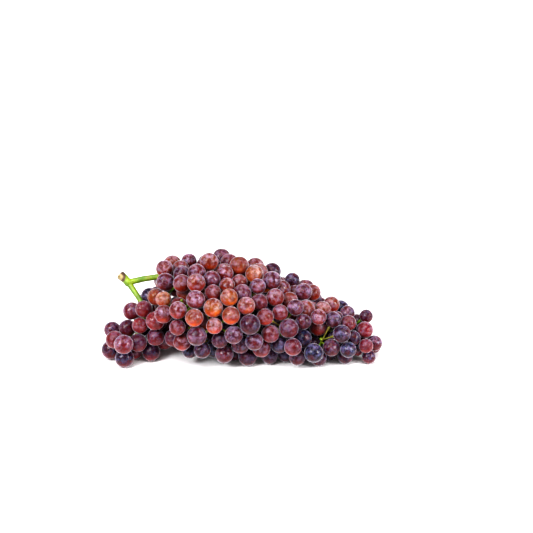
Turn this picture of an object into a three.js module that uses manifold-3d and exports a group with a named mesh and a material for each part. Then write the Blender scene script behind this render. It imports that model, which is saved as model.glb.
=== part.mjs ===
// A winged bunch of small red table grapes, lying on its side on a flat surface.
// One green stem grew as a single piece: stalk, main axis, wing axis, side branches and a pedicel
// for each berry. Every berry hangs on its own pedicel and presses on its neighbours, and a few bare
// pedicels are left where a berry was picked off.
// Millimetres, +Z up. X runs along the bunch from the cut stalk (-X) to the tip (+X), and the origin
// is on the surface, under the middle of the bunch.
import * as THREE from "three";
import { mergeVertices } from "three/addons/utils/BufferGeometryUtils.js";
import Module from "manifold-3d";

const wasm = await Module();
wasm.setup();

// ---- Driving dimensions ---------------------------------------------------------------------

// The bunch as a whole. Places and reaches below are shares of these three.
const BUNCH_LENGTH = 175; // main axis, from the fork to the tip
const BUNCH_WIDTH = 108;
const BUNCH_HEIGHT = 70;

// Berries
const BERRY_DIAMETER = 13; // the usual berry
const BERRY_SPREAD = 0.13; // how far the smallest and the largest differ from it, as a share
const TIP_BERRY_SHARE = 0.88; // berries at the tip stay this much smaller
const BERRY_ROOM = 150; // square millimetres that a berry takes on the outside of the bunch
const UNEVENNESS = 7; // how far a berry may lie below the outside
const INNER_ROOM = 560; // the same for the few berries inside, behind the outer ones
const INNER_DEPTH = 14; // how much deeper they lie
const INNER_FROM = 30; // they grow where the outside is at least this far from the axis

// Stem
const CUT_DIAMETER = 6.6; // flared end where the stalk was cut
const STALK_DIAMETER = 5.2;
const FORK_DIAMETER = 6.2; // swelling where the wing leaves the main axis
const MAIN_DIAMETER = 4.3; // main axis where it leaves the fork
const WING_DIAMETER = 4.2;
const AXIS_END_DIAMETER = 1.5; // both axes at their far ends
const BRANCH_DIAMETER = 1.9; // side branch at its foot
const BRANCH_END_DIAMETER = 1.2;
const PEDICEL_FOOT_DIAMETER = 0.6;
const PEDICEL_HEAD_DIAMETER = 1.2;
const PEDICEL_LONGEST = 16;
const SKIN_CLEARANCE = 0.35; // gap between a berry's skin and anything of the stem

// Where berries press on each other
const CONTACT_GAP = 0.7; // berries closer than this count as pressed together
const PAD_DIAMETER = 2; // the flat between them

// Places along the axes as shares: X of the length from the fork, Y of the width, Z of the height.
const FORK = [0, 0.02, 0.71];
const MAIN_AXIS = [
  FORK,
  [0.046, 0.03, 0.73],
  [0.114, 0.04, 0.757],
  [0.194, 0.03, 0.743],
  [0.286, 0, 0.63],
  [0.434, -0.045, 0.514],
  [0.606, -0.09, 0.414],
  [0.777, -0.14, 0.3],
  [0.914, -0.195, 0.2],
  [1, -0.24, 0.143],
];
const STALK = [
  [-0.034, 0.046, 0.78],
  [-0.017, 0.032, 0.75],
];
const WING_AXIS = [
  [0.029, -0.028, 0.63],
  [0.057, -0.083, 0.557],
  [0.071, -0.13, 0.47],
  [0.063, -0.176, 0.357],
  [0.034, -0.213, 0.257],
  [-0.011, -0.24, 0.2],
];

// How far the bunch reaches sideways from an axis, as shares of half the width, and upwards, as
// shares of the height, at even steps along the part that bears berries.
const MAIN_SIDE_REACH = [0.3, 0.86, 1, 0.98, 0.85, 0.72, 0.61, 0.5, 0.3];
const MAIN_UP_REACH = [0.16, 0.33, 0.44, 0.49, 0.44, 0.37, 0.31, 0.26, 0.15];
const WING_SIDE_REACH = [0.26, 0.41, 0.46, 0.39];
const WING_UP_REACH = [0.11, 0.17, 0.21, 0.19];
const LOWER_SQUARENESS = 3.2; // the underside spreads along the surface; 2 would be an ellipse
const MAIN_BARE = 0.17; // share of the main axis that is bare stem
const WING_BARE = 0.62; // share of stalk and wing together that is bare stem
const LEAN_FIRST = -0.45; // the first berries lean back to the stalk, the last ones to the tip
const LEAN_LAST = 0.6;

// Places where a berry was picked off and left its stalk bare, as shares like those of the axes
const PICKED_AT = [
  [0.225, -0.305, 0.82],
  [0.3, 0.247, 0.857],
  [0.56, 0.4, 0.5],
  [0.797, -0.375, 0.364],
];

// Side branches
const BERRIES_ON_BRANCH = 5; // on average
const BRANCH_STOPS_SHORT = 17; // of the outside, which leaves room for the berries
const BRANCH_LEAST_LENGTH = 5;
const BRANCH_BEND = 0.16; // share of its length by which a branch bows towards the tip
const GOLDEN_SHARE = 0.381966; // of a turn, from one branch or berry to the next

// Settling of the berries
const ROUNDS = 420;
const PULL = 0.05; // share of the way home that a berry moves in a round
const SAG = 0.06; // how far its weight moves a berry in a round
const LET_GO = 0.74; // share of the rounds after which only pressing is left
const LIES_WITHIN = 3; // berries whose underside is this near to the surface come to lie on it
const SEED = 11;

// Clusters: pressed berries that make one piece
const MOST_CLUSTERS = 59;

// Fineness of the solids
const OUTLINE_POINTS = 24;
const AXIS_SIDES = 6;
const MAIN_STEPS = 16;
const WING_STEPS = 12;
const BRANCH_SIDES = 4;
const BRANCH_STEPS = 2;
const FEET_ON_BRANCH = 16; // places along a branch where a pedicel may start
const PEDICEL_SIDES = 3;
const PAD_SIDES = 3;
const PAD_DEPTH = 0.28; // how far a pad runs into each berry, as a share of its radius
const JOIN_TOLERANCE = 0.06;

// ---- Small helpers --------------------------------------------------------------------------

const UP = new THREE.Vector3(0, 1, 0); // long direction of three.js cylinders
const berryRadius = BERRY_DIAMETER / 2;
const headRadius = PEDICEL_HEAD_DIAMETER / 2;
const { clamp, inverseLerp, lerp } = THREE.MathUtils;

/** Even random numbers from 0 to 1, the same ones on every run. */
function randomNumbers(seed) {
  let state = seed;
  return () => {
    state = (state + 0x6d2b79f5) | 0;
    let mixed = Math.imul(state ^ (state >>> 15), 1 | state);
    mixed = (mixed + Math.imul(mixed ^ (mixed >>> 7), 61 | mixed)) ^ mixed;
    return ((mixed ^ (mixed >>> 14)) >>> 0) / 2 ** 32;
  };
}
const random = randomNumbers(SEED);

/** The value at share t of a list of values at even steps. */
function along(values, t) {
  const at = clamp(t, 0, 1) * (values.length - 1);
  const i = Math.min(Math.floor(at), values.length - 2);
  return lerp(values[i], values[i + 1], at - i);
}

/** The point of segment ab that is nearest to p. */
function nearestOn(a, b, p, target) {
  const line = target.subVectors(b, a);
  const reach = (p.x - a.x) * line.x + (p.y - a.y) * line.y + (p.z - a.z) * line.z;
  return line.multiplyScalar(clamp(reach / line.lengthSq(), 0, 1)).add(a);
}

function solidOf(geometry) {
  const bare = geometry.clone().deleteAttribute("normal").deleteAttribute("uv");
  const merged = mergeVertices(bare);
  return new wasm.Manifold(
    new wasm.Mesh({
      numProp: 3,
      vertProperties: merged.attributes.position.array,
      triVerts: new Uint32Array(merged.index.array),
    }),
  );
}

/** One solid from several, without the needless edges that joining leaves. */
function joined(solids) {
  return wasm.Manifold.union(solids).asOriginal().simplify(JOIN_TOLERANCE);
}

function geometryOf(solid) {
  const { vertProperties, triVerts } = solid.getMesh();
  const geometry = new THREE.BufferGeometry();
  geometry.setAttribute("position", new THREE.BufferAttribute(vertProperties, 3));
  geometry.setIndex(new THREE.BufferAttribute(triVerts, 1));
  geometry.computeVertexNormals();
  return geometry;
}

// ---- The two axes ----------------------------------------------------------------------------

const placeOfShares = ([x, y, z]) =>
  new THREE.Vector3((x - 0.5) * BUNCH_LENGTH, y * BUNCH_WIDTH, z * BUNCH_HEIGHT);

const curveThrough = (shares) =>
  new THREE.CatmullRomCurve3(shares.map(placeOfShares), false, "centripetal");

const mainAxis = curveThrough(MAIN_AXIS);
const wingAxis = curveThrough([...STALK, FORK, ...WING_AXIS]); // starts at the cut end of the stalk

const stalkLength = curveThrough([...STALK, FORK]).getLength();
const forkAt = stalkLength / wingAxis.getLength();

const mainRadius = (t) => lerp(MAIN_DIAMETER, AXIS_END_DIAMETER, t) / 2;
const wingRadius = (t) =>
  t < forkAt
    ? lerp(CUT_DIAMETER, STALK_DIAMETER, t / forkAt) / 2
    : lerp(WING_DIAMETER, AXIS_END_DIAMETER, (t - forkAt) / (1 - forkAt)) / 2;
const branchRadius = (t) => lerp(BRANCH_DIAMETER, BRANCH_END_DIAMETER, t) / 2;

const shoots = [
  { name: "wing", axis: wingAxis, bare: WING_BARE, sides: WING_SIDE_REACH, ups: WING_UP_REACH },
  { name: "main", axis: mainAxis, bare: MAIN_BARE, sides: MAIN_SIDE_REACH, ups: MAIN_UP_REACH },
];

// ---- The outside of the bunch ----------------------------------------------------------------

/** The closed outline of the bunch round one place of an axis. */
function outlineAt({ axis, sides, ups }, t, share) {
  const foot = axis.getPointAt(t);
  const run = axis.getTangentAt(t);
  const side = new THREE.Vector3(-run.y, run.x, 0).normalize();
  const up = new THREE.Vector3().crossVectors(run, side);
  const sideReach = (along(sides, share) * BUNCH_WIDTH) / 2;
  const upReach = along(ups, share) * BUNCH_HEIGHT;
  const lean = lerp(LEAN_FIRST, LEAN_LAST, share);
  const points = Array.from({ length: OUTLINE_POINTS }, (_, i) => {
    const angle = (i / OUTLINE_POINTS) * 2 * Math.PI;
    const above = Math.sin(angle) > 0;
    const power = above ? 2 : LOWER_SQUARENESS;
    const sideways = Math.abs(Math.cos(angle)) / sideReach;
    const upOrDown = Math.abs(Math.sin(angle)) / (above ? upReach : foot.z);
    const reach = (sideways ** power + upOrDown ** power) ** (-1 / power);
    const point = foot.clone().addScaledVector(side, reach * Math.cos(angle));
    point.addScaledVector(up, reach * Math.sin(angle)).addScaledVector(run, lean * reach);
    point.z = Math.max(point.z, 0);
    return point;
  });
  const outline = new THREE.CatmullRomCurve3(points, true);
  return { foot, run, outline };
}

/** Spots spread evenly over the outside of the bunch, each with room for itself. */
function spotsOn(shoot, room) {
  const spots = [];
  const length = shoot.axis.getLength();
  for (let t = shoot.bare, turn = 0; t < 1; turn += GOLDEN_SHARE) {
    const share = (t - shoot.bare) / (1 - shoot.bare);
    const { foot, run, outline } = outlineAt(shoot, t, share);
    spots.push({ foot, run, share, spot: outline.getPointAt(turn % 1) });
    t += room / (outline.getLength() * length);
  }
  return spots;
}

// ---- Side branches ---------------------------------------------------------------------------

/** A side branch: a bent line of points from its foot on the axis towards its spot outside. */
function branchTo({ foot, run, spot }, name) {
  const reach = foot.distanceTo(spot);
  const length = Math.max(reach - BRANCH_STOPS_SHORT, BRANCH_LEAST_LENGTH);
  const end = foot.clone().lerp(spot, length / reach);
  end.z = Math.max(end.z, BERRY_DIAMETER);
  const bend = foot.clone().lerp(end, 0.5).addScaledVector(run, BRANCH_BEND * length);
  const curve = new THREE.QuadraticBezierCurve3(foot, bend, end);
  return { name, end, curve, points: curve.getSpacedPoints(BRANCH_STEPS) };
}

const branches = shoots.flatMap((shoot) =>
  spotsOn(shoot, BERRY_ROOM * BERRIES_ON_BRANCH).map((spot) => branchTo(spot, shoot.name)),
);

// ---- Berries, each at its place near the outside or behind it --------------------------------

function berryAt({ foot, share, spot }, name, depth) {
  const nearTip = name === "main" ? Math.max(0, inverseLerp(0.7, 1, share)) : 0;
  const spread = BERRY_SPREAD * (2 * random() - 1);
  const radius = berryRadius * lerp(1, TIP_BERRY_SHARE, nearTip) * (1 + spread);
  const inward = (depth + radius + UNEVENNESS * random()) / foot.distanceTo(spot);
  const home = spot.clone().lerp(foot, Math.min(inward, 1));
  home.z = Math.max(home.z, radius);
  return { name, radius, home, centre: home.clone() };
}

const innerSpotsOn = (shoot) =>
  spotsOn(shoot, INNER_ROOM).filter(({ foot, spot }) => foot.distanceTo(spot) > INNER_FROM);

const berries = shoots.flatMap((shoot) => [
  ...spotsOn(shoot, BERRY_ROOM).map((spot) => berryAt(spot, shoot.name, 0)),
  ...innerSpotsOn(shoot).map((spot) => berryAt(spot, shoot.name, INNER_DEPTH)),
]);

/** A stem as straight round lines that berries can't enter: [from, to, radius]. */
function roundLines(points, radiusAt) {
  const pieces = points.length - 1;
  return points.slice(1).map((to, i) => [points[i], to, radiusAt((i + 0.5) / pieces)]);
}

const stemLines = [
  ...roundLines(mainAxis.getSpacedPoints(MAIN_STEPS), mainRadius),
  ...roundLines(wingAxis.getSpacedPoints(WING_STEPS), wingRadius),
  ...branches.flatMap(({ points }) => roundLines(points, branchRadius)),
];

function pressApart(one, other, apart) {
  apart.subVectors(other.centre, one.centre);
  const overlap = one.radius + other.radius - apart.length();
  if (overlap <= 0) return;
  apart.setLength(overlap / 2);
  one.centre.sub(apart);
  other.centre.add(apart);
}

function pressOffStem(berry, apart) {
  for (const [from, to, radius] of stemLines) {
    nearestOn(from, to, berry.centre, apart);
    apart.subVectors(berry.centre, apart);
    const overlap = berry.radius + radius + SKIN_CLEARANCE - apart.length();
    if (overlap > 0) berry.centre.add(apart.setLength(overlap));
  }
}

/** Lets the berries sag, and moves them off each other, the stem and the surface until they lie. */
function settle() {
  const apart = new THREE.Vector3();
  for (let round = 0; round < ROUNDS; round++) {
    const loose = Math.max(0, 1 - round / (ROUNDS * LET_GO));
    for (const berry of berries) {
      berry.centre.lerp(berry.home, PULL * loose);
      berry.centre.z -= SAG * loose;
    }
    berries.forEach((one, i) => {
      for (let k = i + 1; k < berries.length; k++) pressApart(one, berries[k], apart);
    });
    for (const berry of berries) {
      pressOffStem(berry, apart);
      const underside = berry.centre.z - berry.radius;
      if (underside < (loose > 0 ? LIES_WITHIN : 0)) berry.centre.z = berry.radius;
    }
  }
}
settle();

// ---- Pedicels: the short stalk of each berry -------------------------------------------------

/** Even places along a side branch, on the straight pieces that it is made of. */
const placesOnBranches = branches.flatMap(({ points }) => {
  const path = new THREE.CurvePath();
  points.slice(1).forEach((to, i) => path.add(new THREE.LineCurve3(points[i], to)));
  return path.getSpacedPoints(FEET_ON_BRANCH);
});

/** Whether a straight stalk can run between two points, past every berry but its own. */
function isClear(from, to, own) {
  const nearest = new THREE.Vector3();
  return berries.every((berry) => {
    const room = berry.radius + headRadius + SKIN_CLEARANCE;
    return berry === own || nearestOn(from, to, berry.centre, nearest).distanceTo(berry.centre) > room;
  });
}

/** The shortest clear stalk from any branch to a berry, which it meets head on. */
function pedicelOf(berry) {
  const distance = (place) => place.distanceTo(berry.centre);
  const feet = placesOnBranches.filter((place) => distance(place) < berry.radius + PEDICEL_LONGEST);
  feet.sort((a, b) => distance(a) - distance(b));
  const headFor = (foot) => {
    const outward = foot.clone().sub(berry.centre);
    return berry.centre.clone().add(outward.setLength(berry.radius + SKIN_CLEARANCE));
  };
  const foot = feet.find((place) => isClear(place, headFor(place), berry));
  return foot && { foot, head: headFor(foot), berry };
}

// A berry that no stalk could reach withered young, so it is left out.
const pedicels = berries.map(pedicelOf).filter(Boolean);
const grownBerries = pedicels.map(({ berry }) => berry);

/** The berry whose middle is nearest to a place. */
function berryNearest(place) {
  const distances = grownBerries.map(({ centre }) => centre.distanceTo(place));
  return grownBerries[distances.indexOf(Math.min(...distances))];
}

const pickedBerries = PICKED_AT.map(placeOfShares).map(berryNearest);
const ripeBerries = grownBerries.filter((berry) => !pickedBerries.includes(berry));

// ---- The stem as one solid -------------------------------------------------------------------

/** A tapering round stem: a thin outline extruded along the curve, each ring widened to its size. */
function taperedStem(curve, sides, steps, radiusAt) {
  const thin = AXIS_END_DIAMETER / 100;
  const corners = Array.from({ length: sides }, (_, i) => {
    const angle = (i / sides) * 2 * Math.PI;
    return new THREE.Vector2(thin * Math.cos(angle), thin * Math.sin(angle));
  });
  const geometry = new THREE.ExtrudeGeometry(new THREE.Shape(corners), { steps, extrudePath: curve });
  const rings = curve.getSpacedPoints(steps);
  const position = geometry.attributes.position;
  const corner = new THREE.Vector3();
  for (let i = 0; i < position.count; i++) {
    corner.fromBufferAttribute(position, i);
    const distances = rings.map((middle) => middle.distanceTo(corner));
    const ring = distances.indexOf(Math.min(...distances));
    corner.sub(rings[ring]).multiplyScalar(radiusAt(ring / steps) / thin).add(rings[ring]);
    position.setXYZ(i, corner.x, corner.y, corner.z);
  }
  return solidOf(geometry);
}

/** A straight round solid from one point along a direction, with its own radius at each end. */
function straightSolid(start, run, length, startRadius, endRadius, sides) {
  const geometry = new THREE.CylinderGeometry(endRadius, startRadius, length, sides);
  geometry.translate(0, length / 2, 0);
  geometry.applyQuaternion(new THREE.Quaternion().setFromUnitVectors(UP, run));
  geometry.translate(start.x, start.y, start.z);
  return solidOf(geometry);
}

function pedicelSolid({ foot, head }) {
  const run = head.clone().sub(foot);
  const length = run.length();
  const footRadius = PEDICEL_FOOT_DIAMETER / 2;
  return straightSolid(foot, run.normalize(), length, footRadius, headRadius, PEDICEL_SIDES);
}

function stemSolid() {
  const fork = solidOf(new THREE.IcosahedronGeometry(FORK_DIAMETER / 2, 1));
  return joined([
    taperedStem(mainAxis, AXIS_SIDES, MAIN_STEPS, mainRadius),
    taperedStem(wingAxis, AXIS_SIDES, WING_STEPS, wingRadius),
    fork.translate(placeOfShares(FORK).toArray()),
    ...branches.map(({ curve }) => taperedStem(curve, BRANCH_SIDES, BRANCH_STEPS, branchRadius)),
    ...pedicels.map(pedicelSolid),
  ]);
}

// ---- Clusters: berries that press together ---------------------------------------------------

const berrySolid = ({ centre, radius }) =>
  solidOf(new THREE.OctahedronGeometry(radius, 1)).translate(centre.toArray());

/** The flat where two berries press on each other, from inside the one to inside the other. */
function padSolid({ one, other }) {
  const run = other.centre.clone().sub(one.centre);
  const fromCentre = 1 - PAD_DEPTH;
  const length = run.length() - (one.radius + other.radius) * fromCentre;
  run.normalize();
  const start = one.centre.clone().addScaledVector(run, one.radius * fromCentre);
  return straightSolid(start, run, length, PAD_DIAMETER / 2, PAD_DIAMETER / 2, PAD_SIDES);
}

const clusterSolid = ({ members, contacts }) =>
  joined([...members.map(berrySolid), ...contacts.map(padSolid)]);

/** Every pair of berries that press on each other. */
function contactsAmong(all) {
  return all.flatMap((one, i) =>
    all.slice(i + 1).flatMap((other) => {
      const gap = one.centre.distanceTo(other.centre) - one.radius - other.radius;
      return gap < CONTACT_GAP ? [{ one, other, gap }] : [];
    }),
  );
}

function middleOf(members) {
  const sum = members.reduce((total, berry) => total.add(berry.centre), new THREE.Vector3());
  return sum.divideScalar(members.length);
}

/** How far the berries of a cluster lie from its middle, at the most. */
function spreadOf(members) {
  const middle = middleOf(members);
  return Math.max(...members.map((berry) => berry.centre.distanceTo(middle)));
}

/** Joins pressed berries into compact clusters, the smallest first, until few enough are left. */
function clustersOf(all) {
  const clusterOf = new Map(all.map((berry) => [berry, { members: [berry], contacts: [] }]));
  const clusters = new Set(clusterOf.values());
  let open = contactsAmong(all);
  const order = ({ one, other }) => {
    const pair = [clusterOf.get(one), clusterOf.get(other)];
    const sizes = pair.map(({ members }) => members.length);
    return [Math.min(...sizes), Math.max(...sizes), spreadOf(pair.flatMap(({ members }) => members))];
  };
  const comesBefore = (a, b) => {
    const differs = a.findIndex((value, i) => value !== b[i]);
    return differs >= 0 && a[differs] < b[differs];
  };
  while (clusters.size > MOST_CLUSTERS) {
    open = open.filter(({ one, other }) => clusterOf.get(one) !== clusterOf.get(other));
    const ranked = open.map((contact) => ({ contact, rank: order(contact) }));
    const { contact } = ranked.reduce((best, next) => (comesBefore(next.rank, best.rank) ? next : best));
    const kept = clusterOf.get(contact.one);
    const gone = clusterOf.get(contact.other);
    kept.members.push(...gone.members);
    kept.contacts.push(contact, ...gone.contacts);
    gone.members.forEach((berry) => clusterOf.set(berry, kept));
    clusters.delete(gone);
  }
  return [...clusters];
}

/** The part of the bunch where a cluster lies. */
function placeNameOf(cluster) {
  if (cluster.members[0].name === "wing") return "wing";
  const share = middleOf(cluster.members).x / BUNCH_LENGTH + 0.5;
  return share < 0.4 ? "shoulder" : share < 0.75 ? "middle" : "tip";
}

// ---- The bunch -------------------------------------------------------------------------------

const plain = (color, roughness) => new THREE.MeshStandardMaterial({ color, roughness, metalness: 0 });
const stemMaterial = plain(0x9cb83a, 0.55);
const berryMaterials = {
  wing: plain(0x7c2a38, 0.4),
  shoulder: plain(0xa8605a, 0.4),
  middle: plain(0x8a4a58, 0.4),
  tip: plain(0x74404f, 0.4),
};

function meshOf(name, solid, material) {
  const mesh = new THREE.Mesh(geometryOf(solid), material);
  mesh.name = name;
  return mesh;
}

const bunch = new THREE.Group();
bunch.add(meshOf("stem", stemSolid(), stemMaterial));

const counts = { wing: 0, shoulder: 0, middle: 0, tip: 0 };
const clusters = clustersOf(ripeBerries);
clusters.sort((a, b) => middleOf(a.members).x - middleOf(b.members).x);
for (const cluster of clusters) {
  const place = placeNameOf(cluster);
  counts[place] += 1;
  const name = `berries_${place}_${String(counts[place]).padStart(2, "0")}`;
  bunch.add(meshOf(name, clusterSolid(cluster), berryMaterials[place]));
}

// The origin lies on the surface, under the middle of the bunch.
const box = new THREE.Box3().setFromObject(bunch);
bunch.position.set(-(box.min.x + box.max.x) / 2, -(box.min.y + box.max.y) / 2, -box.min.z);

export default bunch;
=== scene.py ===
import bmesh
import bpy
import math
import random
from itertools import combinations, permutations
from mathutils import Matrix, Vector, kdtree


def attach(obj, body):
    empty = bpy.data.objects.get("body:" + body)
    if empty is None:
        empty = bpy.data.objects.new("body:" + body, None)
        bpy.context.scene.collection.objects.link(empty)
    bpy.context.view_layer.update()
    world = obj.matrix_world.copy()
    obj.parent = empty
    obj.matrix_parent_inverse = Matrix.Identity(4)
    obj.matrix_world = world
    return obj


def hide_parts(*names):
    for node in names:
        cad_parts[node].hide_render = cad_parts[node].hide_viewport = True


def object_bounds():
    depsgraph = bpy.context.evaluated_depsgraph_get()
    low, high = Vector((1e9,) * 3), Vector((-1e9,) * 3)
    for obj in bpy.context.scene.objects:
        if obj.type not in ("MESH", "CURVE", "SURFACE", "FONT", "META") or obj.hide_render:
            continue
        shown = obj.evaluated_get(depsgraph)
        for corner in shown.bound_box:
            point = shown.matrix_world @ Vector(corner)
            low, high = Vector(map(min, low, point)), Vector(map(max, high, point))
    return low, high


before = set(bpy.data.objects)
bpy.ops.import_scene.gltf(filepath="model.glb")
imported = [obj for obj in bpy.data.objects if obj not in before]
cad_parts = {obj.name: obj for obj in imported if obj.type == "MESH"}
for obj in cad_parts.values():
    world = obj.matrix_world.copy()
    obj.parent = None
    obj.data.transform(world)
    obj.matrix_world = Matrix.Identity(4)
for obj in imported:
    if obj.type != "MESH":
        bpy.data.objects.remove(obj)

cad_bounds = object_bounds()


# The berries. Each is a thin tight skin over clear, juicy flesh, almost round, with a small dimple
# where its stalk is grown in and a dry brown dot at the far end, where the flower was. They hang
# pressed against their neighbours, and a dusty wax that they grow themselves covers them.
BERRY_LEAST, BERRY_MOST = 0.0095, 0.0160  # diameters that a berry may have
HEAD_RADIUS = 0.0006  # a stalk's head, in the frame
STALK_DIMPLE = 0.06  # depths below the round, as shares of the radius
FLOWER_DIMPLE = 0.02
OUT_OF_ROUND = 0.035
FACES_ACROSS = 4  # a berry starts as a cube with this many faces along each edge
TIP_FROM = 0.8  # berries past this share of the half length are crimson, like those of the wing
SHADED_SIDE = 0.12  # painted shade: how much darker the berries of the far side, away from the light, are
BERRY_VARIES = 0.26  # how far one berry's ripeness differs at random from the tone of its place


def place_key(place):
    """A place in whole thousandths of a millimetre, which is the same for corners that meet."""
    return tuple(round(value * 1e6) for value in place)


def loose_points(node):
    """The places of a node's corners, each once."""
    places = {}
    for vertex in node.data.vertices:
        places.setdefault(place_key(vertex.co), vertex.co.copy())
    return list(places.values())


def tree_of(points):
    tree = kdtree.KDTree(len(points))
    for number, point in enumerate(points):
        tree.insert(point, number)
    tree.balance()
    return tree


def berries_in(node):
    """Centre and radius of each berry: its corners lie in pairs across the centre, along the axes."""
    points = loose_points(node)
    tree = tree_of(points)
    steps = [sign * Vector(axis) for axis in ((1, 0, 0), (0, 1, 0), (0, 0, 1)) for sign in (1, -1)]
    guesses = []
    for axis in range(3):
        lines = {}
        for point in points:
            key = tuple(round(point[other] * 2e5) for other in range(3) if other != axis)
            lines.setdefault(key, []).append(point)
        for low, high in (pair for line in lines.values() for pair in permutations(line, 2)):
            if BERRY_LEAST < high[axis] - low[axis] < BERRY_MOST:
                guesses.append(((low + high) / 2, (high - low).length / 2))
    found = []
    for centre, radius in sorted(guesses, key=lambda guess: -guess[1]):
        present = sum(tree.find(centre + radius * step)[2] < 2e-5 for step in steps)
        if present >= 4 and all((centre - other).length > size for other, size in found):
            found.append((centre, radius))
    return found


def stalk_ends(stem):
    """The stalks' heads, where the stem's faces are even triangles of one size: middle, outward."""
    side = HEAD_RADIUS * math.sqrt(3)
    ends = []
    for face in stem.data.polygons:
        corners = [stem.data.vertices[number].co for number in face.vertices]
        if all(abs((a - b).length - side) < 3e-5 for a, b in combinations(corners, 2)):
            ends.append((sum(corners, Vector()) / 3, face.normal.copy()))
    return ends


stalks = stalk_ends(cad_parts["stem"])
stalk_tree = tree_of([middle for middle, _ in stalks])


def add_node(tree, kind, links=(), **settings):
    """A node with its settings made, and its inputs joined to sockets or set to values."""
    node = tree.nodes.new(kind)
    for name, value in settings.items():
        setattr(node, name, value)
    for key, source in dict(links).items():
        if isinstance(source, bpy.types.NodeSocket):
            tree.links.new(source, node.inputs[key])
        else:
            node.inputs[key].default_value = source
    return node


def berry_grower():
    """Geometry nodes that grow a round berry at each point, from a few faces, with its dimples."""
    tree = bpy.data.node_groups.new("grow_berries", "GeometryNodeTree")
    sockets = (("Geometry", "Geometry"), ("Faces across", "Int"), ("Stalk dimple", "Float"),
               ("Flower dimple", "Float"), ("Out of round", "Float"), ("Skin", "Material"))
    for name, kind in sockets:
        tree.interface.new_socket(name, in_out="INPUT", socket_type="NodeSocket" + kind)
    tree.interface.new_socket("Geometry", in_out="OUTPUT", socket_type="NodeSocketGeometry")
    given = add_node(tree, "NodeGroupInput").outputs

    def named(name, data_type):
        links = {"Name": name}
        return add_node(tree, "GeometryNodeInputNamedAttribute", links, data_type=data_type).outputs[0]

    def maths(operation, *inputs):
        return add_node(tree, "ShaderNodeMath", enumerate(inputs), operation=operation).outputs[0]

    def vector_maths(operation, *inputs):
        return add_node(tree, "ShaderNodeVectorMath", enumerate(inputs), operation=operation).outputs[0]

    def dip(height, start, end, depth):
        links = {"Value": height, "From Min": start, "From Max": end}
        ramp = add_node(tree, "ShaderNodeMapRange", links, interpolation_type="SMOOTHSTEP")
        return maths("MULTIPLY", ramp.outputs[0], depth)

    centre, own = named("centre", "FLOAT_VECTOR"), named("own", "FLOAT_VECTOR")
    radius, seed = named("radius", "FLOAT"), named("seed", "FLOAT")
    place = add_node(tree, "GeometryNodeInputPosition").outputs[0]

    across = maths("ADD", given["Faces across"], 1)
    links = {"Size": (2, 2, 2), "Vertices X": across, "Vertices Y": across, "Vertices Z": across}
    cube = add_node(tree, "GeometryNodeMeshCube", links)
    links = {"Geometry": cube.outputs[0], "Position": vector_maths("NORMALIZE", place)}
    ball = add_node(tree, "GeometryNodeSetPosition", links)
    links = {"Geometry": ball.outputs[0], "Name": "own", "Value": place}
    marked = add_node(tree, "GeometryNodeStoreNamedAttribute", links, data_type="FLOAT_VECTOR")
    links = {"Vector": named("stalk", "FLOAT_VECTOR")}
    hung = add_node(tree, "FunctionNodeAlignRotationToVector", links, axis="Z")
    links = {"Points": given["Geometry"], "Instance": marked.outputs[0],
             "Rotation": hung.outputs[0], "Scale": radius}
    grown = add_node(tree, "GeometryNodeInstanceOnPoints", links)
    real = add_node(tree, "GeometryNodeRealizeInstances", {0: grown.outputs[0]})
    finer = add_node(tree, "GeometryNodeSubdivisionSurface", {0: real.outputs[0], "Level": 1})

    height = add_node(tree, "ShaderNodeSeparateXYZ", {0: vector_maths("NORMALIZE", own)}).outputs[2]
    elsewhere = add_node(tree, "ShaderNodeCombineXYZ", {0: maths("MULTIPLY", seed, 60)}).outputs[0]
    links = {"Vector": vector_maths("ADD", own, elsewhere), "Scale": 1.1, "Detail": 1.0}
    wobble = add_node(tree, "ShaderNodeTexNoise", links).outputs[0]
    lost = maths("ADD", dip(height, 0.86, 1.0, given["Stalk dimple"]),
                 dip(height, -0.95, -1.0, given["Flower dimple"]))
    lost = maths("ADD", lost, maths("MULTIPLY", wobble, given["Out of round"]))
    outward = vector_maths("NORMALIZE", vector_maths("SUBTRACT", place, centre))
    links = {0: outward, "Scale": maths("MULTIPLY", radius, maths("SUBTRACT", 1.0, lost))}
    reach = add_node(tree, "ShaderNodeVectorMath", links, operation="SCALE").outputs[0]
    links = {"Geometry": finer.outputs[0], "Position": vector_maths("ADD", centre, reach)}
    shaped = add_node(tree, "GeometryNodeSetPosition", links)
    under = maths("MULTIPLY", add_node(tree, "ShaderNodeSeparateXYZ", {0: outward}).outputs[2], -1.0)
    links = {"Geometry": shaped.outputs[0], "Name": "under", "Value": under}
    sided = add_node(tree, "GeometryNodeStoreNamedAttribute", links)
    smooth = add_node(tree, "GeometryNodeSetShadeSmooth", {0: sided.outputs[0]})
    links = {"Geometry": smooth.outputs[0], "Material": given["Skin"]}
    skinned = add_node(tree, "GeometryNodeSetMaterial", links)
    add_node(tree, "NodeGroupOutput", {0: skinned.outputs[0]})
    return tree


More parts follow.
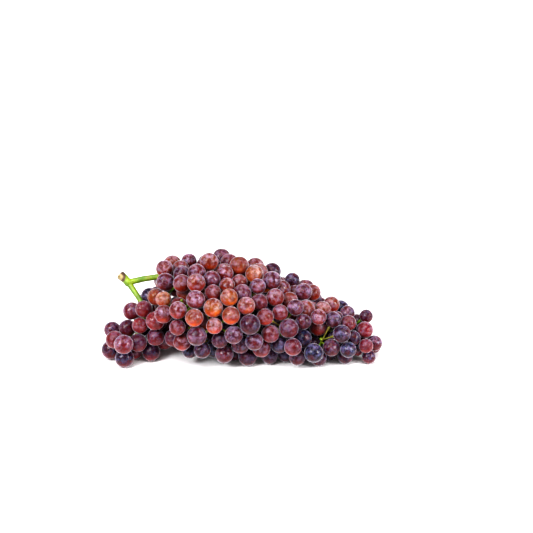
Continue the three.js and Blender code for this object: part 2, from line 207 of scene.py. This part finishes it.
def grape_skin():
    """Clear flesh under a skin that runs from amber to blue-violet, with a mottled dusty bloom, and painted
    light and shade: a painted glow on the underside, bloom paler on top, and a painted shadow of the seeds
    round the flower end.
    """
    skin = bpy.data.materials.new("grape_skin")
    skin.use_nodes = True
    tree = skin.node_tree
    tree.nodes.clear()

    def attribute(name):
        return add_node(tree, "ShaderNodeAttribute", attribute_name=name, attribute_type="GEOMETRY")

    def maths(operation, *inputs, clamp=False):
        node = add_node(tree, "ShaderNodeMath", enumerate(inputs), operation=operation)
        node.use_clamp = clamp
        return node.outputs[0]

    def ramp(factor, stops):
        node = add_node(tree, "ShaderNodeValToRGB", {0: factor})
        elements = node.color_ramp.elements
        while len(elements) < len(stops):
            elements.new(0.5)
        for element, (position, colour) in zip(elements, stops):
            element.position = position
            element.color = (*colour, 1)
        return node.outputs[0]

    def spread(value, low, high, start=0.0, end=1.0):
        links = {"Value": value, "From Min": low, "From Max": high, "To Min": start, "To Max": end}
        return add_node(tree, "ShaderNodeMapRange", links, interpolation_type="SMOOTHSTEP").outputs[0]

    def blend(factor, first, second):
        links = {0: factor, 6: first, 7: second}
        return add_node(tree, "ShaderNodeMix", links, data_type="RGBA").outputs[2]

    def noise(scale, detail, roughness=0.55):
        links = {"Vector": shifted, "Scale": scale, "Detail": detail, "Roughness": roughness}
        return add_node(tree, "ShaderNodeTexNoise", links).outputs[0]

    own = attribute("own").outputs["Vector"]
    seed, ripeness_and_shade = attribute("seed").outputs["Fac"], attribute("ripeness_and_shade").outputs["Fac"]
    crimson, under = attribute("crimson").outputs["Fac"], attribute("under").outputs["Fac"]
    apart = add_node(tree, "ShaderNodeCombineXYZ", {0: maths("MULTIPLY", seed, 70.0)}).outputs[0]
    shifted = add_node(tree, "ShaderNodeVectorMath", {0: own, 1: apart}, operation="ADD").outputs[0]
    height = add_node(tree, "ShaderNodeSeparateXYZ", {0: own}).outputs[2]

    cloudy = noise(1.3, 3.0)
    shade = maths("ADD", ripeness_and_shade, maths("MULTIPLY", maths("SUBTRACT", cloudy, 0.5), 0.6), clamp=True)
    flesh = ramp(shade, [(0.0, (0.26, 0.080, 0.002)), (0.25, (0.135, 0.020, 0.002)),
                         (0.5, (0.085, 0.003, 0.005)), (0.75, (0.030, 0.001, 0.010)),
                         (1.0, (0.005, 0.002, 0.012))])
    red = ramp(shade, [(0.0, (0.20, 0.002, 0.006)), (1.0, (0.030, 0.001, 0.008))])
    flesh = blend(crimson, flesh, red)
    # Painted light: each berry's underside is painted in a glow colour, bright orange on amber berries and
    # deep red on dark ones, standing for light from above shining through the flesh.
    painted_glow = ramp(shade, [(0.0, (0.72, 0.17, 0.0)), (0.35, (0.34, 0.020, 0.0)),
                        (0.6, (0.10, 0.003, 0.002)), (1.0, (0.012, 0.002, 0.006))])
    painted_glow_amount = maths("MULTIPLY", spread(under, -0.4, 0.6), 0.92)
    painted_glow = blend(crimson, painted_glow, (0.17, 0.001, 0.001, 1))
    flesh = blend(painted_glow_amount, flesh, painted_glow)

    dust_and_painted_top_light = spread(noise(1.9, 6.0, 0.65), 0.40, 0.62)
    rubbed = spread(noise(3.0, 4.0, 0.6), 0.50, 0.66)
    dust_and_painted_top_light = maths("MULTIPLY", dust_and_painted_top_light, maths("SUBTRACT", 1.0, maths("MULTIPLY", rubbed, 0.8)))
    # Painted light: the pale bloom is laid thickest on the upward-facing side and thinnest underneath, a
    # painted pale top where the light falls on the wax.
    dust_and_painted_top_light = maths("MULTIPLY", dust_and_painted_top_light, spread(under, 0.5, -0.35, 0.12, 1.0))
    dust_and_painted_top_light = maths("MULTIPLY", dust_and_painted_top_light, spread(seed, 0.0, 1.0, 0.45, 1.0))
    dust_and_painted_top_light = maths("MULTIPLY", dust_and_painted_top_light, maths("SUBTRACT", 1.0, maths("MULTIPLY", crimson, 0.45)))
    waxy = ramp(shade, [(0.0, (0.40, 0.29, 0.27)), (0.5, (0.34, 0.24, 0.35)),
                        (1.0, (0.12, 0.12, 0.25))])
    colour = blend(maths("MULTIPLY", dust_and_painted_top_light, 0.72), flesh, waxy)
    # Painted shade: a dark red ring round the flower end stands for the shadow of the seeds inside the berry.
    painted_seed_shadow = maths("MULTIPLY", spread(height, -0.86, -0.97), 0.55)
    colour = blend(painted_seed_shadow, colour, (0.085, 0.004, 0.003, 1))
    flower = spread(height, -0.984, -0.996)
    colour = blend(maths("MULTIPLY", flower, 0.85), colour, (0.03, 0.014, 0.008, 1))

    uneven = {"Height": noise(5.0, 4.0, 0.6), "Strength": 0.35, "Distance": 0.0006}
    bumps = add_node(tree, "ShaderNodeBump", uneven).outputs[0]
    links = {
        "Normal": bumps, "Coat Normal": bumps,
        "Base Color": colour, "Roughness": spread(dust_and_painted_top_light, 0.0, 1.0, 0.24, 0.5),
        "Subsurface Weight": 0.6, "Subsurface Radius": (1.0, 0.14, 0.06), "Subsurface Scale": 0.004,
        "Specular IOR Level": 0.12, "IOR": 1.4,
        "Coat Weight": 0.5, "Coat Roughness": 0.06, "Coat IOR": 1.4,
        "Sheen Weight": 1.0, "Sheen Roughness": 0.3, "Sheen Tint": (0.92, 0.86, 1.0, 1),
    }
    surface = add_node(tree, "ShaderNodeBsdfPrincipled", links)
    add_node(tree, "ShaderNodeOutputMaterial", {0: surface.outputs[0]})
    return skin


def set_inputs(modifier, tree, values):
    """Sets a modifier's inputs by their sockets' identifiers."""
    for socket in tree.interface.items_tree:
        if socket.in_out == "INPUT" and socket.name in values:
            modifier[socket.identifier] = values[socket.name]


def plain_copy(piece, name):
    """The piece as its modifiers leave it, as one plain mesh."""
    mesh = bpy.data.meshes.new_from_object(piece.evaluated_get(bpy.context.evaluated_depsgraph_get()))
    made = bpy.data.objects.new(name, mesh)
    bpy.context.scene.collection.objects.link(made)
    bpy.data.objects.remove(piece)
    return made


def ripeness_and_shade_at(centre):
    """Amber at 0 to blue-violet at 1, partly ripeness and partly painted shade: darkest low down, most of all
    near the floor, and darker on the far side; lightest at three quarters of the height.
    """
    raised = centre.z / highest.z
    ripeness_and_shade = 0.92 - 0.75 * raised + 1.2 * max(raised - 0.75, 0) + 1.5 * max(0.2 - raised, 0)
    return ripeness_and_shade + (SHADED_SIDE if centre.y > 0 else 0.0)


chance = random.Random(7)
skin = grape_skin()
grower = berry_grower()
lowest, highest = cad_bounds
berry_at_stalk = {}
for name in sorted(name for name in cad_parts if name.startswith("berries_")):
    berries = berries_in(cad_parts[name])
    in_wing = name.startswith("berries_wing")
    facts = {"radius": [], "seed": [], "ripeness_and_shade": [], "crimson": []}
    places = {"centre": [], "stalk": []}
    for centre, radius in berries:
        head, number, _ = stalk_tree.find(centre)
        berry_at_stalk[number] = (centre, radius)
        places["centre"].extend(centre)
        places["stalk"].extend((head - centre).normalized())
        ripeness_and_shade = ripeness_and_shade_at(centre) + chance.uniform(-BERRY_VARIES, BERRY_VARIES)
        facts["radius"].append(radius)
        facts["seed"].append(chance.random())
        facts["ripeness_and_shade"].append(min(max(ripeness_and_shade, 0.0), 1.0))
        at_the_tip = centre.x > TIP_FROM * highest.x
        facts["crimson"].append(chance.uniform(0.4, 1.0) if in_wing or at_the_tip else 0.0)
    points = bpy.data.meshes.new(name + "_points")
    points.from_pydata([centre for centre, _ in berries], [], [])
    for key, values in facts.items():
        points.attributes.new(key, "FLOAT", "POINT").data.foreach_set("value", values)
    for key, values in places.items():
        points.attributes.new(key, "FLOAT_VECTOR", "POINT").data.foreach_set("vector", values)
    seeds = bpy.data.objects.new(name + "_points", points)
    bpy.context.scene.collection.objects.link(seeds)
    growth = seeds.modifiers.new("grow", "NODES")
    growth.node_group = grower
    set_inputs(growth, grower, {"Faces across": FACES_ACROSS, "Stalk dimple": STALK_DIMPLE,
                                "Flower dimple": FLOWER_DIMPLE, "Out of round": OUT_OF_ROUND,
                                "Skin": skin})
    cluster = plain_copy(seeds, "grown_" + name)
    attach(cluster, "root")
    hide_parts(name)


# The stem. It is one green, woody growth: a stalk cut off with a blade, two axes that part at a
# swollen fork, side branches, and a thin stalk for each berry that widens where it is grown in.
STALK_RADIUS = 0.00045
WIDE_HEAD_RADIUS = 0.0010
ROUNDED_UP = 0.0003  # added all round, as the frame's few-sided stem lies inside the round one
BARE_STUB = 0.0008  # what a picked berry leaves on its stalk
SUNK_IN = 0.02  # how far a stalk's head reaches into its berry, as a share of the radius
STEM_GRAIN = 0.00045  # size of the little cubes that the stem is grown together from
STALK_SIDES = 8
STALK_POINTS = 9  # along a stalk
FOOT_SUNK = 0.0002  # how far a stalk starts inside its branch
CUT_END_REACH = 0.0068  # from one corner of the cut end to the farthest of the others
TAN_FROM = 0.052  # the twigs turn tan this far in from the stalk's side, over TAN_OVER
TAN_OVER = 0.02
TAN_MOST = 0.8


def stalk_grower():
    """Geometry nodes that turn each line into a round stalk with a swollen head."""
    tree = bpy.data.node_groups.new("grow_stalks", "GeometryNodeTree")
    sockets = (("Geometry", "Geometry"), ("Stalk radius", "Float"), ("Head radius", "Float"),
               ("Sides", "Int"), ("Bark", "Material"))
    for name, kind in sockets:
        tree.interface.new_socket(name, in_out="INPUT", socket_type="NodeSocket" + kind)
    tree.interface.new_socket("Geometry", in_out="OUTPUT", socket_type="NodeSocketGeometry")
    given = add_node(tree, "NodeGroupInput").outputs
    line = add_node(tree, "GeometryNodeMeshToCurve", {0: given["Geometry"]})
    points = add_node(tree, "GeometryNodeResampleCurve", {0: line.outputs[0], "Count": STALK_POINTS})
    share = add_node(tree, "GeometryNodeSplineParameter").outputs["Factor"]
    links = {"Value": share, "From Min": 0.72, "From Max": 0.96,
             "To Min": given["Stalk radius"], "To Max": given["Head radius"]}
    width = add_node(tree, "ShaderNodeMapRange", links, interpolation_type="SMOOTHSTEP").outputs[0]
    outline = add_node(tree, "GeometryNodeCurvePrimitiveCircle", {
        "Resolution": given["Sides"], "Radius": 1.0})
    links = {0: points.outputs[0], 1: outline.outputs[0], "Scale": width, "Fill Caps": True}
    tube = add_node(tree, "GeometryNodeCurveToMesh", links)
    real = add_node(tree, "GeometryNodeRealizeInstances", {0: tube.outputs[0]})
    links = {"Geometry": real.outputs[0], "Material": given["Bark"]}
    barked = add_node(tree, "GeometryNodeSetMaterial", links)
    add_node(tree, "NodeGroupOutput", {0: barked.outputs[0]})
    return tree


def stem_skin(cut_middle, cut_direction):
    """Lime green, mottled and finely bumpy, with tan twigs and a dry brown rim round the cut."""
    bark = bpy.data.materials.new("stem_skin")
    bark.use_nodes = True
    tree = bark.node_tree
    tree.nodes.clear()
    here = add_node(tree, "ShaderNodeTexCoord").outputs["Object"]

    def spread(value, low, high, start=0.0, end=1.0):
        links = {"Value": value, "From Min": low, "From Max": high, "To Min": start, "To Max": end}
        return add_node(tree, "ShaderNodeMapRange", links, interpolation_type="SMOOTHSTEP").outputs[0]

    def blend(factor, first, second):
        links = {0: factor, 6: first, 7: second}
        return add_node(tree, "ShaderNodeMix", links, data_type="RGBA").outputs[2]

    def noise(scale, detail):
        return add_node(tree, "ShaderNodeTexNoise", {
            "Vector": here, "Scale": scale, "Detail": detail}).outputs[0]

    def maths(operation, *inputs):
        return add_node(tree, "ShaderNodeMath", enumerate(inputs), operation=operation).outputs[0]

    green = blend(spread(noise(120.0, 3.0), 0.35, 0.65), (0.085, 0.18, 0.004, 1), (0.22, 0.31, 0.008, 1))
    tan = blend(spread(noise(400.0, 2.0), 0.4, 0.6), (0.30, 0.22, 0.05, 1), (0.18, 0.10, 0.025, 1))
    inner = add_node(tree, "ShaderNodeAttribute", attribute_name="inner").outputs["Fac"]
    patchy = maths("MULTIPLY", inner, spread(noise(60.0, 2.0), 0.42, 0.58))
    colour = blend(patchy, green, tan)
    specks = maths("MULTIPLY", spread(noise(1300.0, 2.0), 0.55, 0.63), 0.5)
    colour = blend(specks, colour, (0.10, 0.05, 0.015, 1))
    scuffed = maths("MULTIPLY", spread(noise(150.0, 5.0), 0.54, 0.66), 0.5)
    colour = blend(scuffed, colour, (0.20, 0.12, 0.04, 1))

    turn = Vector((0, 0, 1)).rotation_difference(cut_direction).to_euler()
    links = {"Vector": here, "Location": cut_middle, "Rotation": turn}
    local = add_node(tree, "ShaderNodeMapping", links, vector_type="TEXTURE").outputs[0]
    parts = add_node(tree, "ShaderNodeSeparateXYZ", {0: local}).outputs
    flat = add_node(tree, "ShaderNodeVectorMath", {0: local, 1: (1, 1, 0)}, operation="MULTIPLY")
    across = add_node(tree, "ShaderNodeVectorMath", {0: flat.outputs[0]}, operation="LENGTH").outputs["Value"]
    wood = blend(spread(across, 0.0006, 0.0016), (0.20, 0.14, 0.05, 1), (0.34, 0.26, 0.12, 1))
    wood = blend(spread(across, 0.0018, 0.0027), wood, (0.07, 0.035, 0.012, 1))
    colour = blend(spread(parts[2], -0.0013, -0.0005), colour, wood)

    bump = add_node(tree, "ShaderNodeBump", {"Height": noise(900.0, 3.0), "Strength": 0.25,
                                             "Distance": 0.0003})
    links = {"Base Color": colour, "Roughness": 0.45, "Subsurface Weight": 0.15,
             "Subsurface Radius": (0.5, 1.0, 0.15), "Subsurface Scale": 0.001,
             "Normal": bump.outputs[0]}
    surface = add_node(tree, "ShaderNodeBsdfPrincipled", links)
    add_node(tree, "ShaderNodeOutputMaterial", {0: surface.outputs[0]})
    return bark


# The cut end is the part of the stem that lies farthest up and out to the stalk's side.
stem_points = loose_points(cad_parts["stem"])
cut_corner = max(stem_points, key=lambda point: point.z - point.x)
cut_corners = [point for point in stem_points if (point - cut_corner).length < CUT_END_REACH]
cut_middle = sum(cut_corners, Vector()) / len(cut_corners)
rays = [point - cut_middle for point in cut_corners]
cut_direction = max((a.cross(b) for a, b in permutations(rays, 2)), key=lambda v: v.length).normalized()
if cut_direction.z < 0:
    cut_direction.negate()
bark = stem_skin(cut_middle, cut_direction)

# Each stalk starts at the far end of the longest edge that leaves its head.
frame_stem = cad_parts["stem"].data
meeting = {}
for edge in frame_stem.edges:
    ends = [frame_stem.vertices[number].co for number in edge.vertices]
    for near, far in (ends, ends[::-1]):
        meeting.setdefault(place_key(near), []).append(far.copy())
stem_tree = tree_of(stem_points)
lines, joints = [], []
for number, (head, outward) in enumerate(stalks):
    corners = [point for point, _, _ in stem_tree.find_n(head, 3)]
    reach = max((head - far).dot(outward) for corner in corners for far in meeting[place_key(corner)])
    end = head + outward * BARE_STUB
    if number in berry_at_stalk:
        centre, radius = berry_at_stalk[number]
        end = centre - outward * radius * (1 - SUNK_IN - STALK_DIMPLE / 2)
    joints.append((len(lines), len(lines) + 1))
    lines += [head - outward * (reach + FOOT_SUNK), end]
mesh = bpy.data.meshes.new("stalk_lines")
mesh.from_pydata(lines, joints, [])
guide = bpy.data.objects.new("stalk_lines", mesh)
bpy.context.scene.collection.objects.link(guide)
growth = guide.modifiers.new("grow", "NODES")
growth.node_group = stalk_nodes = stalk_grower()
set_inputs(growth, stalk_nodes, {"Stalk radius": STALK_RADIUS, "Head radius": WIDE_HEAD_RADIUS,
                                 "Sides": STALK_SIDES, "Bark": bark})
stalk_mesh = plain_copy(guide, "stalks")

together = bmesh.new()
together.from_mesh(frame_stem)
bmesh.ops.remove_doubles(together, verts=together.verts, dist=1e-6)
together.from_mesh(stalk_mesh.data)
bpy.data.objects.remove(stalk_mesh)
mesh = bpy.data.meshes.new("stem_rough")
together.to_mesh(mesh)
together.free()
rough = bpy.data.objects.new("stem_rough", mesh)
bpy.context.scene.collection.objects.link(rough)
grown = rough.modifiers.new("grown_together", "REMESH")
grown.mode = "VOXEL"
grown.voxel_size = STEM_GRAIN
swollen = rough.modifiers.new("swollen", "DISPLACE")
swollen.strength = ROUNDED_UP
swollen.mid_level = 0.0
evened = rough.modifiers.new("evened", "SMOOTH")
evened.factor = 0.5
evened.iterations = 4
stem = plain_copy(rough, "grown_stem")
stem.data.materials.clear()
stem.data.materials.append(bark)
stem.data.shade_smooth()
inner = stem.data.attributes.new("inner", "FLOAT", "POINT")
for vertex in stem.data.vertices:
    tan = (vertex.co.x - lowest.x - TAN_FROM) / TAN_OVER
    inner.data[vertex.index].value = min(max(tan, 0.0), TAN_MOST)
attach(stem, "root")
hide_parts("stem")


# The stage: a wide pale floor, a broad soft light from above and a little in front, a lamp at each
# side, a white room that lights the fruit less than it shows, and the camera.
FLOOR_HALF = 1.5
LAMP_SIZE = 0.3
LAMPS_AIM = (0, 0, 0.03)
SKY_WIDTH = math.radians(35)
SKY_STRENGTH = 1.7
SKY_FROM = (-0.12, -0.42, 1)
ROOM_LIGHT = 0.56
ROOM_SHOWN = 1.0
CAMERA_DISTANCE = 0.6
CAMERA_HEIGHT_ANGLE = math.radians(27.5)
LENS = 53
SENSOR_WIDTH = 36
LOOK_ABOVE = math.radians(5.6)
LOOK_RIGHT = math.radians(2.0)


def make_floor():
    mesh = bpy.data.meshes.new("floor")
    corners = [(-1, -1), (1, -1), (1, 1), (-1, 1)]
    mesh.from_pydata([(FLOOR_HALF * x, FLOOR_HALF * y, 0) for x, y in corners], [], [(0, 1, 2, 3)])
    paper = bpy.data.materials.new("pale_floor")
    paper.use_nodes = True
    surface = paper.node_tree.nodes["Principled BSDF"]
    surface.inputs["Base Color"].default_value = (0.86, 0.86, 0.87, 1)
    surface.inputs["Roughness"].default_value = 0.8
    mesh.materials.append(paper)
    floor = bpy.data.objects.new("floor", mesh)
    bpy.context.scene.collection.objects.link(floor)


def add_soft_light(name, place, power):
    lamp = bpy.data.lights.new(name, "AREA")
    lamp.shape = "DISK"
    lamp.size = LAMP_SIZE
    lamp.energy = power
    light = bpy.data.objects.new(name, lamp)
    light.location = place
    light.rotation_euler = (Vector(LAMPS_AIM) - Vector(place)).to_track_quat("-Z", "Y").to_euler()
    bpy.context.scene.collection.objects.link(light)


make_floor()
add_soft_light("left_light", (-0.55, -0.55, 0.6), 6.5)
add_soft_light("right_light", (0.7, -0.45, 0.4), 6)
sky = bpy.data.lights.new("sky_light", "SUN")
sky.angle = SKY_WIDTH
sky.energy = SKY_STRENGTH
sky_light = bpy.data.objects.new("sky_light", sky)
sky_light.rotation_euler = Vector(SKY_FROM).to_track_quat("Z", "Y").to_euler()
bpy.context.scene.collection.objects.link(sky_light)

world = bpy.data.worlds.new("pale_room")
world.use_nodes = True
room = world.node_tree
seen = add_node(room, "ShaderNodeLightPath").outputs["Is Camera Ray"]
links = {"Value": seen, "To Min": ROOM_LIGHT, "To Max": ROOM_SHOWN}
strength = add_node(room, "ShaderNodeMapRange", links).outputs[0]
room.links.new(strength, room.nodes["Background"].inputs["Strength"])
room.nodes["Background"].inputs["Color"].default_value = (1, 1, 1, 1)
bpy.context.scene.world = world
bpy.context.scene.view_settings.view_transform = "Standard"
bpy.context.scene.view_settings.look = "High Contrast"

lens = bpy.data.cameras.new("camera")
lens.lens = LENS
lens.sensor_width = SENSOR_WIDTH
camera = bpy.data.objects.new("camera", lens)
camera.location = (0, -CAMERA_DISTANCE * math.cos(CAMERA_HEIGHT_ANGLE),
                   CAMERA_DISTANCE * math.sin(CAMERA_HEIGHT_ANGLE))
camera.rotation_euler = (math.pi / 2 - CAMERA_HEIGHT_ANGLE + LOOK_ABOVE, 0, -LOOK_RIGHT)
bpy.context.scene.collection.objects.link(camera)
bpy.context.scene.camera = camera
